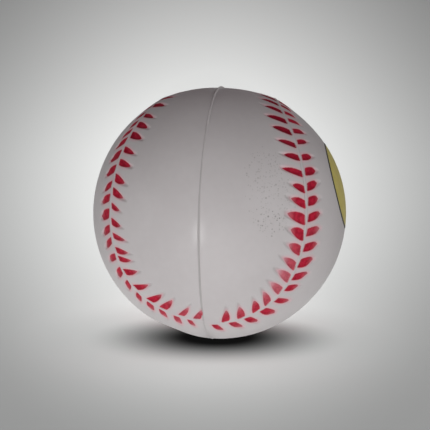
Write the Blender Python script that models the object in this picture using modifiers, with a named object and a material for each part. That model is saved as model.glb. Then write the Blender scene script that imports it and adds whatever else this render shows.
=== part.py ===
"""Foam baseball: a self-skinned polyurethane foam ball from a two-half mould.

The ball rests on the XY plane, on the small flat that its soft foam makes there.
The mould's parting plane is x = 0, and the front of the ball faces -Y.
Lengths are in metres, angles in radians.
"""
import math

import bmesh
import bpy
import numpy as np
from mathutils import Matrix, Vector

MM = 0.001

# Ball
BALL_RADIUS = 31.5 * MM
SKIN_THICKNESS = 1.8 * MM
CORE_CLEARANCE = 0.3 * MM
REST_FLAT_RADIUS = 5.0 * MM

# Bead of foam that squeezes out between the mould halves
FLASH_THICKNESS = 0.5 * MM
FLASH_CREST = 0.2 * MM
FLASH_HEIGHT = 0.4 * MM

# Seam: its crowns stop short of the poles by SEAM_INSET, which also swings it sideways
SEAM_INSET = math.radians(24.3)
SEAM_SQUARENESS = 0.023
SEAM_WAIST = 0.051
SEAM_TILT = math.radians(-19.3)
MOULD_TWIST = math.radians(1.9)

# Raised rib along the seam
RIB_WIDTH = 0.6 * MM
RIB_HEIGHT = 0.25 * MM

# Pockets of the moulded stitches, counted for one mould half
POCKET_DEPTH = 0.6 * MM
POCKET_FLOOR_SCALE = 0.7
INNER_COUNT = 47
INNER_FIRST = 4.6 * MM
INNER_LAST = 2.4 * MM
INNER_GAP = 0.45 * MM
INNER_LENGTH = 4.2 * MM
INNER_WIDTH = 1.75 * MM
INNER_LEAN = 1.5 * MM
OUTER_COUNT = 48
OUTER_FIRST = 2.2 * MM
OUTER_LAST = 3.2 * MM
OUTER_GAP = 0.45 * MM
OUTER_LENGTH = 3.9 * MM
OUTER_WIDTH = 1.9 * MM
OUTER_LEAN = 1.2 * MM

# Round print on the right side: a disc of one ink inside an outline of another
PRINT_RADIUS = 10.8 * MM
PRINT_OUTLINE_WIDTH = 0.5 * MM
PRINT_THICKNESS = 0.2 * MM
PRINT_CLEARANCE = 0.25 * MM
PRINT_ELEVATION = math.radians(15.0)

# Facets
BALL_STEPS = 48
OUTER_RINGS = 12
INNER_RINGS = 6
CORE_SEGMENTS = 32
RIB_POINTS = 48
PRINT_STEPS = 32
PRINT_RINGS = 4
SEAM_SAMPLES = 6001

# Clearances of the cutters
CUT_MARGIN = 0.15 * MM
TRIM_OVERLAP = 0.6 * MM
MERGE_DISTANCE = 0.001 * MM

CENTRE_HEIGHT = math.sqrt(BALL_RADIUS ** 2 - REST_FLAT_RADIUS ** 2)
SKIN_INNER_RADIUS = BALL_RADIUS - SKIN_THICKNESS
RIGHT, LEFT = 1, -1


def clear_scene():
    """Remove every object, so that the script starts from an empty scene."""
    for item in list(bpy.data.objects):
        bpy.data.objects.remove(item, do_unlink=True)


def new_collection(name):
    """Add a collection to the scene."""
    collection = bpy.data.collections.new(name)
    bpy.context.scene.collection.children.link(collection)
    return collection


def foam_material(name, colour, roughness):
    """Plain dielectric material: foam, paint or ink."""
    material = bpy.data.materials.new(name)
    material.use_nodes = True
    shader = material.node_tree.nodes["Principled BSDF"]
    shader.inputs["Base Color"].default_value = (*colour, 1.0)
    shader.inputs["Roughness"].default_value = roughness
    shader.inputs["Metallic"].default_value = 0.0
    return material


def add_object(name, mesh, collection, parent):
    """Put a mesh into the scene, carried by the empty at the ball's centre."""
    item = bpy.data.objects.new(name, mesh)
    collection.objects.link(item)
    item.parent = parent
    return item


def as_cutter(item):
    """Mark an object as a tool that cuts or joins, not as a piece of the ball."""
    item.hide_render = True
    item.display_type = "WIRE"
    return item


def boolean(item, operation, tool):
    """Join another shape to a piece, or cut it away."""
    modifier = item.modifiers.new(f"{operation.lower()}_{tool.name}", "BOOLEAN")
    modifier.operation = operation
    modifier.solver = "EXACT"
    modifier.object = tool


def turned(name, profile, closed, steps, collection, parent):
    """Turn a profile of (x, radius) points about the X axis with a Screw modifier."""
    mesh = bpy.data.meshes.new(name)
    last = len(profile) - 1
    edges = [(i, i + 1) for i in range(last)]
    if closed:
        edges.append((last, 0))
    mesh.from_pydata([(x, radius, 0.0) for x, radius in profile], edges, [])
    item = add_object(name, mesh, collection, parent)
    screw = item.modifiers.new("turn", "SCREW")
    screw.axis = "X"
    screw.angle = 2.0 * math.pi
    screw.steps = steps
    screw.render_steps = steps
    screw.use_merge_vertices = True
    screw.merge_threshold = MERGE_DISTANCE
    screw.use_smooth_shade = True
    return item


def arc(radius, start, end, count):
    """Points (x, radius) on a circle about the centre, by angle from the X axis."""
    angles = np.linspace(start, end, count + 1)
    return [(radius * math.cos(a), radius * math.sin(a)) for a in angles]


def seam_directions(parameter):
    """Unit vectors along the baseball seam, before it is tilted.

    Latitude swings twice a turn, with a little of the third overtone that squares the crowns.
    Longitude runs round once and sways four times a turn, with an overtone that narrows the waist.
    """
    swing = np.cos(2.0 * parameter)
    latitude = (math.pi / 2.0 - SEAM_INSET) * swing
    latitude = latitude + SEAM_SQUARENESS * (np.cos(6.0 * parameter) - swing)
    longitude = parameter + SEAM_INSET * np.sin(4.0 * parameter)
    longitude = longitude + SEAM_WAIST * np.sin(8.0 * parameter)
    level = np.cos(latitude)
    return np.stack([-level * np.cos(longitude), -level * np.sin(longitude), np.sin(latitude)], axis=-1)


class HalfSeam:
    """The seam's run over one mould half, from one crossing of the parting plane to the next."""

    def __init__(self, side):
        start = math.pi / 2.0 if side == RIGHT else -math.pi / 2.0
        self.parameter = np.linspace(start - 0.2, start + math.pi + 0.2, SEAM_SAMPLES)
        self.path = seam_directions(self.parameter)
        step = np.linalg.norm(np.diff(self.path, axis=0), axis=1) * BALL_RADIUS
        travel = np.concatenate([[0.0], np.cumsum(step)])
        self.travel = travel - np.interp(start, self.parameter, travel)
        self.length = float(np.interp(start + math.pi, self.parameter, self.travel))
        along = np.gradient(self.path, axis=0)
        along /= np.linalg.norm(along, axis=1)[:, None]
        self.across = np.cross(self.path, along)
        self.tilt = Matrix.Rotation(SEAM_TILT + side * MOULD_TWIST / 2.0, 3, "X")

    def direction(self, travel, offset):
        """Unit vector at a length along the seam and a distance beside it, over the ball."""
        point = Vector([np.interp(travel, self.travel, self.path[:, k]) for k in range(3)])
        beside = Vector([np.interp(travel, self.travel, self.across[:, k]) for k in range(3)])
        angle = offset / BALL_RADIUS
        return self.tilt @ (point * math.cos(angle) + beside * math.sin(angle)).normalized()


def inner_half_width(share):
    """Thorn: half width that falls to a sharp tip, as a share of the leaf's length."""
    return INNER_WIDTH / 2.0 * (1.0 - share ** 2)


def outer_half_width(share):
    """Blunt leaf: half width that stays full and rounds off at the tip."""
    return OUTER_WIDTH / 2.0 * math.sqrt(1.0 - share ** 3)


def leaf_outline(half_width, length, lean, gap):
    """Points (along, across) round one pocket: its base beside the rib, then its tip."""
    shares = (0.0, 0.5, 0.85)
    front = [(lean * q + half_width(q), gap + length * q) for q in shares]
    back = [(lean * q - half_width(q), gap + length * q) for q in reversed(shares)]
    return front + [(lean, gap + length)] + back


def stitch_rows(seam):
    """Places of one half's pockets: (base centre along the seam, row side, outline)."""
    thorn = leaf_outline(inner_half_width, INNER_LENGTH, INNER_LEAN, INNER_GAP)
    blunt = leaf_outline(outer_half_width, OUTER_LENGTH, OUTER_LEAN, OUTER_GAP)
    inner = np.linspace(INNER_FIRST, seam.length - INNER_LAST, INNER_COUNT)
    outer = np.linspace(OUTER_FIRST, seam.length - OUTER_LAST, OUTER_COUNT)
    return [(place, 1, thorn) for place in inner] + [(place, -1, blunt) for place in outer]


def pocket_tool(name, seam, collection, parent):
    """Tapered plugs that press the stitches into the skin, one for each pocket."""
    taper = (1.0 - POCKET_FLOOR_SCALE) / POCKET_DEPTH
    ends = (
        (BALL_RADIUS - POCKET_DEPTH, POCKET_FLOOR_SCALE),
        (BALL_RADIUS + CUT_MARGIN, 1.0 + taper * CUT_MARGIN),
    )
    shape = bmesh.new()
    for place, row, outline in stitch_rows(seam):
        middle = np.mean(outline, axis=0)
        rings = []
        for radius, scale in ends:
            points = [middle + scale * (np.array(point) - middle) for point in outline]
            rings.append([seam.direction(place + p[0], row * p[1]) * radius for p in points])
        floor = shape.faces.new([shape.verts.new(point) for point in rings[0]])
        raised = bmesh.ops.extrude_face_region(shape, geom=[floor], use_keep_orig=True)
        top = [v for v in raised["geom"] if isinstance(v, bmesh.types.BMVert)]
        for vertex, point in zip(top, rings[1]):
            vertex.co = point
    bmesh.ops.recalc_face_normals(shape, faces=shape.faces)
    mesh = bpy.data.meshes.new(name)
    shape.to_mesh(mesh)
    shape.free()
    return as_cutter(add_object(name, mesh, collection, parent))


def rib_tool(name, seam, collection, parent):
    """Round bead along the seam, sunk so that a low rib of the set width stands out."""
    bead = ((RIB_WIDTH / 2.0) ** 2 + RIB_HEIGHT ** 2) / (2.0 * RIB_HEIGHT)
    radius = BALL_RADIUS + RIB_HEIGHT - bead
    curve = bpy.data.curves.new(name, "CURVE")
    curve.dimensions = "3D"
    curve.bevel_depth = bead
    curve.bevel_resolution = 1
    curve.use_fill_caps = True
    spline = curve.splines.new("POLY")
    spline.points.add(RIB_POINTS - 1)
    travels = np.linspace(-TRIM_OVERLAP, seam.length + TRIM_OVERLAP, RIB_POINTS)
    for point, travel in zip(spline.points, travels):
        point.co = (*(seam.direction(travel, 0.0) * radius), 1.0)
    tube = add_object(f"{name}_path", curve, collection, parent)
    evaluated = tube.evaluated_get(bpy.context.evaluated_depsgraph_get())
    mesh = bpy.data.meshes.new_from_object(evaluated)
    bpy.data.objects.remove(tube, do_unlink=True)
    shape = bmesh.new()
    shape.from_mesh(mesh)
    bmesh.ops.remove_doubles(shape, verts=shape.verts, dist=MERGE_DISTANCE)
    bmesh.ops.recalc_face_normals(shape, faces=shape.faces)
    shape.to_mesh(mesh)
    shape.free()
    mesh.name = name
    return as_cutter(add_object(name, mesh, collection, parent))


def box_tool(name, low, high, collection, parent):
    """Box between two corners, given about the ball's centre."""
    shape = bmesh.new()
    bmesh.ops.create_cube(shape, size=1.0)
    size = Vector(high) - Vector(low)
    middle = (Vector(high) + Vector(low)) / 2.0
    bmesh.ops.transform(
        shape, matrix=Matrix.Translation(middle) @ Matrix.Diagonal((*size, 1.0)), verts=shape.verts
    )
    mesh = bpy.data.meshes.new(name)
    shape.to_mesh(mesh)
    shape.free()
    return as_cutter(add_object(name, mesh, collection, parent))


def rest_tool(collection, parent):
    """Box under the ball whose top is the surface that the ball stands on."""
    reach = 2.0 * BALL_RADIUS
    return box_tool("rest_plane", (-reach, -reach, -reach), (reach, reach, -CENTRE_HEIGHT), collection, parent)


def parting_tool(side, collection, parent):
    """Box over the other mould half and half the flash, which trims this half's rim flat."""
    reach = 2.0 * BALL_RADIUS
    rim = side * FLASH_THICKNESS / 2.0
    ends = sorted((rim, -side * reach))
    name = "parting_right" if side == RIGHT else "parting_left"
    return box_tool(name, (ends[0], -reach, -reach), (ends[1], reach, reach), collection, parent)


def skin_half(name, side, rest, pieces, tools, parent):
    """Dense outer skin of one mould half, with its rib, its stitch pockets and its rim."""
    over = FLASH_THICKNESS / 2.0 - TRIM_OVERLAP
    outside = arc(BALL_RADIUS, 0.0, math.acos(over / BALL_RADIUS), OUTER_RINGS)
    inside = arc(SKIN_INNER_RADIUS, math.acos(over / SKIN_INNER_RADIUS), 0.0, INNER_RINGS)
    profile = [(side * x, radius) for x, radius in outside + inside]
    skin = turned(name, profile[::side], False, BALL_STEPS, pieces, parent)
    seam = HalfSeam(side)
    boolean(skin, "UNION", rib_tool(f"{name}_rib", seam, tools, parent))
    boolean(skin, "DIFFERENCE", pocket_tool(f"{name}_pockets", seam, tools, parent))
    boolean(skin, "DIFFERENCE", parting_tool(side, tools, parent))
    boolean(skin, "DIFFERENCE", rest)
    return skin


def parting_flash(rest, pieces, parent):
    """Thin ring of foam between the two rims, with a bead that stands out of the ball."""
    rim, crest = FLASH_THICKNESS / 2.0, FLASH_CREST / 2.0
    top = BALL_RADIUS + FLASH_HEIGHT
    profile = [
        (rim, SKIN_INNER_RADIUS),
        (-rim, SKIN_INNER_RADIUS),
        (-rim, BALL_RADIUS),
        (-crest, top),
        (crest, top),
        (rim, BALL_RADIUS),
    ]
    ring = turned("parting_flash", profile, True, BALL_STEPS, pieces, parent)
    boolean(ring, "DIFFERENCE", rest)
    return ring


def foam_core(pieces, parent):
    """Soft cellular foam that fills the skin, clear of the skin's flat facets."""
    ring_angle = math.pi / 2.0 / INNER_RINGS
    step_angle = 2.0 * math.pi / BALL_STEPS
    inscribed = SKIN_INNER_RADIUS * math.cos(ring_angle / 2.0) * math.cos(step_angle / 2.0)
    shape = bmesh.new()
    bmesh.ops.create_uvsphere(
        shape,
        u_segments=CORE_SEGMENTS,
        v_segments=CORE_SEGMENTS // 2,
        radius=inscribed - CORE_CLEARANCE,
    )
    mesh = bpy.data.meshes.new("foam_core")
    shape.to_mesh(mesh)
    shape.free()
    mesh.shade_smooth()
    return add_object("foam_core", mesh, pieces, parent)


def print_film(name, start, end, pieces, parent):
    """Film of ink that follows the ball between two distances from the print's middle."""
    low = BALL_RADIUS + PRINT_CLEARANCE
    angles = math.asin(start / BALL_RADIUS), math.asin(end / BALL_RADIUS)
    rings = PRINT_RINGS if start == 0.0 else 1
    outside = arc(low + PRINT_THICKNESS, angles[0], angles[1], rings)
    inside = arc(low, angles[1], angles[0], rings)
    film = turned(name, outside + inside, start > 0.0, PRINT_STEPS, pieces, parent)
    film.rotation_euler = (0.0, -PRINT_ELEVATION, 0.0)
    return film


def print_disc(pieces, parent):
    """Plain disc of the print, clear of its outline."""
    edge = PRINT_RADIUS - PRINT_OUTLINE_WIDTH - PRINT_CLEARANCE
    return print_film("print_disc", 0.0, edge, pieces, parent)


def print_outline(pieces, parent):
    """Dark ring round the disc."""
    return print_film("print_outline", PRINT_RADIUS - PRINT_OUTLINE_WIDTH, PRINT_RADIUS, pieces, parent)


def build():
    """Make the ball's pieces and give each its own material."""
    clear_scene()
    pieces = new_collection("foam_baseball")
    tools = new_collection("foam_baseball_cutters")
    centre = bpy.data.objects.new("ball_centre", None)
    centre.location = (0.0, 0.0, CENTRE_HEIGHT)
    pieces.objects.link(centre)
    rest = rest_tool(tools, centre)
    finishes = (
        (foam_core(pieces, centre), (0.83, 0.80, 0.72), 0.95),
        (skin_half("skin_left", LEFT, rest, pieces, tools, centre), (0.72, 0.69, 0.69), 0.60),
        (skin_half("skin_right", RIGHT, rest, pieces, tools, centre), (0.72, 0.69, 0.69), 0.60),
        (parting_flash(rest, pieces, centre), (0.76, 0.73, 0.73), 0.55),
        (print_disc(pieces, centre), (0.62, 0.55, 0.16), 0.45),
        (print_outline(pieces, centre), (0.05, 0.05, 0.04), 0.45),
    )
    for piece, colour, roughness in finishes:
        piece.data.materials.append(foam_material(piece.name, colour, roughness))
    bpy.context.view_layer.update()


build()
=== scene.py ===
import math
from dataclasses import dataclass, replace

import bpy
import numpy as np
from mathutils import Matrix, Vector


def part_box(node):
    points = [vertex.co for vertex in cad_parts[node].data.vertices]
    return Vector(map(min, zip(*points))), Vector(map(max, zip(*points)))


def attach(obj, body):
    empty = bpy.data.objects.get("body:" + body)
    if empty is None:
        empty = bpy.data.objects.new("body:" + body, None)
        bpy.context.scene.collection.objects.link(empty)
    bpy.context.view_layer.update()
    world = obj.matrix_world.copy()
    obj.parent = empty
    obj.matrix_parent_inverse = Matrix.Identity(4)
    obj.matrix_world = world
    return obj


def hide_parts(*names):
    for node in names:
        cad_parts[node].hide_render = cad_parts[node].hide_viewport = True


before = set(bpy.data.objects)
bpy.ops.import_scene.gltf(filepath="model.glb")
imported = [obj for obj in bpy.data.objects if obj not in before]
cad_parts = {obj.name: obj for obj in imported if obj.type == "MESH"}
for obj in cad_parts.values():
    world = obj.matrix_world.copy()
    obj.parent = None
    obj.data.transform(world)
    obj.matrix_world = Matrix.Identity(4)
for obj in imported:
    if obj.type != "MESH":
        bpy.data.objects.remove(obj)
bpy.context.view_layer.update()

MM = 0.001
RIGHT, LEFT = 1, -1
INNER, OUTER = 1, -1

# Ball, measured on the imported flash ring
FLASH_HEIGHT = 0.4 * MM
FLASH_LOW, FLASH_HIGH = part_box("parting_flash")
FLASH_THICKNESS = FLASH_HIGH.x - FLASH_LOW.x
BALL_RADIUS = FLASH_HIGH.y - FLASH_HEIGHT
CENTRE = np.array([0.0, 0.0, FLASH_HIGH.z - FLASH_HIGH.y])
SKIN_THICKNESS = 1.8 * MM
CORE_CLEARANCE = 0.4 * MM
REST_SOFTNESS = 0.12 * MM

# Slow waves in which the ball strays from round: how fast each swings along x, y and z, and its start
UNEVENNESS = 0.03 * MM
UNEVEN_WAVES = np.array([[3.1, 1.7, 0.0], [0.0, 4.3, -2.2], [2.9, 0.0, 5.2]])
UNEVEN_STARTS = np.array([0.6, 2.0, 0.0])

# Where the ball is pressed a little flat: direction of the middle, spread and depth
FLATS = (
    ((0.06, -0.02, 1.0), math.radians(16.0), 0.45 * MM),
    ((0.66, 0.03, 0.75), math.radians(20.0), 0.3 * MM),
    ((-0.31, -0.31, -0.9), math.radians(9.0), 0.4 * MM),
)

# Seam, as in the solids: its crowns stop short of the poles by SEAM_INSET
SEAM_INSET = math.radians(24.3)
SEAM_SQUARENESS = 0.023
SEAM_WAIST = 0.051
SEAM_TILT = math.radians(-19.3)
MOULD_TWIST = math.radians(1.9)
SEAM_LEAD = 0.2
SEAM_SAMPLES = 6001

# Relief beside the seam, which sits a shift nearer to the inner panel than its line in the solids:
# a pocket starts an inset inside the paint's edge and runs out past its tip
BAND_REACH = 6.4 * MM
BAND_FADE = 1.2 * MM
SEAM_SHIFT = 0.3 * MM
SWELL_HEIGHT = 0.22 * MM
RIB_WIDTH = 0.75 * MM
RIB_HEIGHT = 0.13 * MM
POCKET_DEPTH = 0.42 * MM
POCKET_WALL = 0.42 * MM
POCKET_INSET = 0.06 * MM
POCKET_RUNOUT = 0.55
POCKET_BLUNTNESS = 1.5
LEAF_ROUNDING = 0.3 * MM
BASE_POWER = 4

# Where the seam strays further to the inner panel, by half: travel, spread and shift in millimetres
SEAM_STRAYS = {
    RIGHT: (),
    LEFT: ((130.0, 26.0, 0.45), (128.0, 12.0, 0.3), (152.0, 8.0, -0.2), (167.0, 8.0, 0.25)),
}

# Stitches: the moulder's spacing opens near the ends of most rows, where the seam turns at its crowns,
# and each leaf strays a little in place, size, lean and thickness of spray
STITCH_SEED = 20
CROWN_REACH = 12.0 * MM
PLACE_JITTER = 0.2 * MM
SIZE_JITTER = 0.1
LEAN_JITTER = 0.22 * MM
THIN_JITTER = 0.08

# Skin grid: columns over the panels crowd towards the band, less so as PANEL_EVENNESS nears 1
GRID_ALONG = 860
GRID_BAND = 56
GRID_PANEL = 14
PANEL_EVENNESS = 0.35
SPINE_SWING = 2.1
DOME_RINGS = 6
SHARP_ANGLE = math.radians(70.0)

# Bead at the parting line, by angle from the top towards the front: its profile, its crest as a share
# of that profile's height, the groove that it sinks into, and painted shade in the groove and on its left
BEAD_STEPS = 900
BEAD_ACROSS = np.array([-1.3, -0.85, -0.5, -0.18, 0.18, 0.5, 0.85, 1.3]) * FLASH_THICKNESS / 2.0
BEAD_RISE = np.array([-0.15, 0.1, 0.5, 0.95, 1.0, 0.62, 0.16, -0.15]) * FLASH_HEIGHT
BEAD_FOOT = 0.92 * FLASH_THICKNESS / 2.0
BEAD_CREST = 0.32
BEAD_TOP_GAIN = 0.58
BEAD_TOP_SPREAD = math.radians(28.0)
BEAD_RIPPLES = ((3.0, 0.8, 0.06), (11.0, 0.0, 0.03))
GROOVE_ANGLE = math.radians(108.0)
GROOVE_SPREAD = math.radians(34.0)
GROOVE_LOSS = 0.55
GROOVE_SHADE = 0.6
BEAD_SHADE_ANGLE = math.radians(66.0)
BEAD_SHADE_SPREAD = math.radians(22.0)
BEAD_SHADE = 0.3
BEAD_SHADE_WIDENING = 1.8

# Print on the right side: the disc ends under the ring
PRINT_RADIUS = 10.9 * MM
PRINT_RING_WIDTH = 0.72 * MM
PRINT_ELEVATION = math.radians(15.0)
INK_LIFT = 0.04 * MM
INK_SINK = 0.08 * MM
INK_STEPS = 192
DISC_INSET = 0.6 * PRINT_RING_WIDTH
DISC_RINGS = 24
DISC_UNDERSIDE = np.array([0.9, 0.5, 0.0])
RING_SHARES = np.array([0.0, 0.12, 0.5, 0.88, 1.0, 0.5])
RING_LIFTS = np.array([-0.5, 1.2, 1.5, 1.2, -0.5, -2.0]) * INK_LIFT

# Foam core, which ripples in seeded waves: CORE_SWINGS is the spread of their swings along each axis
CORE_SEED = 5
CORE_RINGS, CORE_STEPS = 64, 128
CORE_WAVES = 24
CORE_SWINGS = 14.0
CORE_RIPPLE = 0.02 * MM


@dataclass
class LeafStyle:
    """How the leaves of one row are cut.

    The leaves stand from first to last, opened by the crown at the ends of the row. The base stands a
    gap from the rib and slants by the shear. The tip leans ahead of the base. The sides close in by a
    power, the bow, of the share of the length, and by base_cut at the base. The pocket is longer than
    the painted leaf in the proportion tail.
    """

    count: int
    first: float
    last: float
    crown: float
    gap: float
    length: float
    width: float
    lean: float
    shear: float
    bow: float
    base_cut: float
    tail: float


INNER_STYLE = LeafStyle(
    count=47, first=5.9 * MM, last=3.5 * MM, crown=1.6 * MM, gap=0.15 * MM, length=3.9 * MM,
    width=1.95 * MM, lean=1.25 * MM, shear=0.1, bow=3.0, base_cut=0.1, tail=1.6,
)
OUTER_STYLE = LeafStyle(
    count=48, first=3.4 * MM, last=4.6 * MM, crown=1.6 * MM, gap=0.4 * MM, length=4.5 * MM,
    width=2.1 * MM, lean=1.1 * MM, shear=0.14, bow=4.0, base_cut=0.16, tail=1.4,
)
STYLES = {
    (RIGHT, INNER): INNER_STYLE,
    (RIGHT, OUTER): OUTER_STYLE,
    (LEFT, INNER): replace(INNER_STYLE, gap=0.25 * MM),
    (LEFT, OUTER): replace(OUTER_STYLE, count=50, last=3.0 * MM, crown=0.0),
}

# Stretches of a row where the leaves stand further ahead: travel, spread and shift in millimetres
PLACE_STRETCHES = {
    (RIGHT, INNER): ((23.6, 1.6, 0.6), (27.9, 1.6, -0.45), (50.0, 22.0, -0.5)),
    (RIGHT, OUTER): (
        (9.8, 1.6, 0.5), (19.2, 2.6, 0.75), (38.8, 4.5, -0.5), (53.1, 1.6, -0.75), (60.3, 1.6, -0.5),
    ),
    (LEFT, INNER): (
        (107.0, 3.5, 1.05), (124.0, 16.0, 0.9), (131.0, 1.6, -0.6), (149.3, 2.2, -0.8),
        (149.5, 4.0, -1.6), (168.0, 3.0, 0.9),
    ),
    (LEFT, OUTER): ((119.0, 5.0, -0.9), (157.0, 2.4, 0.55)),
}

# Stretches of a row where the leaves are wider, longer, longer in the pocket, more leaning or thinly
# sprayed, or below nought narrower, shorter, shorter in the pocket, more upright or darkened by painted
# shade:
# travel and spread in millimetres, and gain
WIDE_STRETCHES = {
    (RIGHT, INNER): (
        (14.0, 12.0, 0.36), (17.0, 1.5, 0.2), (33.0, 8.0, 0.45), (31.0, 1.5, 0.2), (34.6, 1.5, -0.12),
        (37.5, 1.8, 0.15), (53.0, 4.0, -0.14), (63.0, 5.0, 0.2),
    ),
    (RIGHT, OUTER): ((35.0, 8.0, 0.26), (35.4, 1.5, 0.25), (54.0, 8.0, -0.16), (62.0, 4.0, -0.15)),
    (LEFT, INNER): ((123.2, 1.5, -0.15), (157.0, 6.0, 0.2)),
    (LEFT, OUTER): (
        (121.0, 1.5, 0.4), (130.0, 14.0, 0.05), (135.3, 1.5, 0.28), (141.5, 1.5, -0.28),
        (147.5, 3.0, -0.16), (168.0, 8.0, -0.2),
    ),
}
LONG_STRETCHES = {
    (RIGHT, INNER): (
        (9.1, 1.5, -0.15), (23.8, 1.5, 0.16), (27.5, 5.0, 0.12), (34.6, 1.5, -0.14), (37.5, 1.8, 0.34),
        (44.0, 4.0, -0.2), (47.8, 1.5, 0.34), (58.5, 1.5, 0.12), (60.0, 12.0, 0.1), (61.9, 1.5, 0.32),
        (65.6, 1.5, -0.1),
    ),
    (RIGHT, OUTER): ((8.0, 5.0, 0.12), (25.0, 1.5, -0.14), (28.2, 1.5, 0.16), (30.0, 7.0, 0.2)),
    (LEFT, INNER): (
        (112.5, 2.0, 0.25), (120.3, 1.5, -0.15), (122.0, 12.0, 0.08), (131.0, 1.5, -0.22),
        (133.4, 1.5, -0.2), (143.5, 1.5, 0.4), (158.8, 1.5, -0.14), (170.7, 1.2, -0.2),
    ),
    (LEFT, OUTER): ((121.0, 1.5, 0.25), (128.0, 18.0, 0.1), (128.4, 1.5, -0.12), (166.0, 9.0, -0.16)),
}
TAIL_STRETCHES = {
    (RIGHT, INNER): ((58.8, 6.0, -0.28),),
}
LEAN_STRETCHES = {
    (LEFT, INNER): ((158.0, 12.0, 0.4), (130.0, 10.0, 0.15)),
}
THIN_AND_SHADE_STRETCHES = {
    (RIGHT, INNER): ((22.0, 7.0, 0.6), (62.0, 16.0, -0.85)),
    (RIGHT, OUTER): ((56.0, 16.0, -0.35), (140.0, 14.0, 0.4)),
    (LEFT, INNER): ((169.0, 5.0, 0.35), (110.0, 16.0, -0.45)),
    (LEFT, OUTER): ((110.0, 16.0, -0.5), (166.0, 9.0, 0.2), (30.0, 12.0, 0.35)),
}

# Painted shade in the crease beside the rib, CREASE_OFFSET millimetres to its inner side, by half:
# travel and spread in millimetres, and share
CREASE_OFFSET = 0.42
CREASE_SHADES = {
    RIGHT: ((42.0, 11.0, 0.6), (118.0, 16.0, 0.4)),
    LEFT: ((60.0, 20.0, 0.35),),
}


def ease(share):
    """Smooth step: three squares less two cubes of the share, held between 0 and 1."""
    held = np.clip(share, 0.0, 1.0)
    return held * held * (3.0 - 2.0 * held)


def bell(distance, spread):
    """Bell curve: one at no distance, falling as the exponential of the squared share of the spread."""
    return np.exp(-((distance / spread) ** 2))


def bells(listed, travel):
    """Sum of bell curves along the seam, listed by travel and spread in millimetres, and height."""
    curves = (height * bell(travel - middle * MM, spread * MM) for middle, spread, height in listed)
    return sum(curves, np.zeros_like(travel))


def sine_waves(direction, waves, starts):
    """Sum of sine waves over unit vectors, each of the vector's product with the wave plus its start."""
    return np.sum(np.sin(direction @ waves.T + starts), axis=-1)


def smooth_maximum(first, second, rounding):
    """Larger of two arrays, rounded where they cross: mean plus half the root of their squared gap."""
    return 0.5 * (first + second + np.sqrt((first - second) ** 2 + rounding ** 2))


def seam_directions(parameter):
    """Unit vectors along the baseball seam, before it is tilted.

    Latitude swings twice a turn, with a little of the third harmonic that squares the crowns.
    Longitude runs round once and sways four times a turn, with a second harmonic that narrows the waist.
    """
    swing = np.cos(2.0 * parameter)
    latitude = (math.pi / 2.0 - SEAM_INSET) * swing
    latitude = latitude + SEAM_SQUARENESS * (np.cos(6.0 * parameter) - swing)
    longitude = parameter + SEAM_INSET * np.sin(4.0 * parameter)
    longitude = longitude + SEAM_WAIST * np.sin(8.0 * parameter)
    level = np.cos(latitude)
    return np.stack([-level * np.cos(longitude), -level * np.sin(longitude), np.sin(latitude)], axis=-1)


def unevenness(direction):
    """How a moulded foam ball strays from round: three slow sine waves, less a bell curve for each flat."""
    height = UNEVENNESS * sine_waves(direction, UNEVEN_WAVES, UNEVEN_STARTS)
    for middle, spread, depth in FLATS:
        middle = np.array(middle) / np.linalg.norm(middle)
        height = height - depth * bell(np.arccos(np.clip(direction @ middle, -1.0, 1.0)), spread)
    return height


def on_ball(direction, height):
    """Points at a height over the plain ball, pressed flat where it stands.

    Height adds to the radius along the unit vector, and z is the smooth maximum of itself and the floor.
    """
    radius = BALL_RADIUS + height + unevenness(direction)
    points = CENTRE + direction * radius[..., None]
    points[..., 2] = smooth_maximum(points[..., 2], 0.0, REST_SOFTNESS)
    return points


def slerp(start, end, share):
    """Unit vectors a share of the way along the great circle between two arrays of unit vectors."""
    angle = np.arccos(np.clip(np.sum(start * end, axis=-1), -1.0, 1.0))[..., None]
    return (np.sin((1.0 - share) * angle) * start + np.sin(share * angle) * end) / np.sin(angle)


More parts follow.
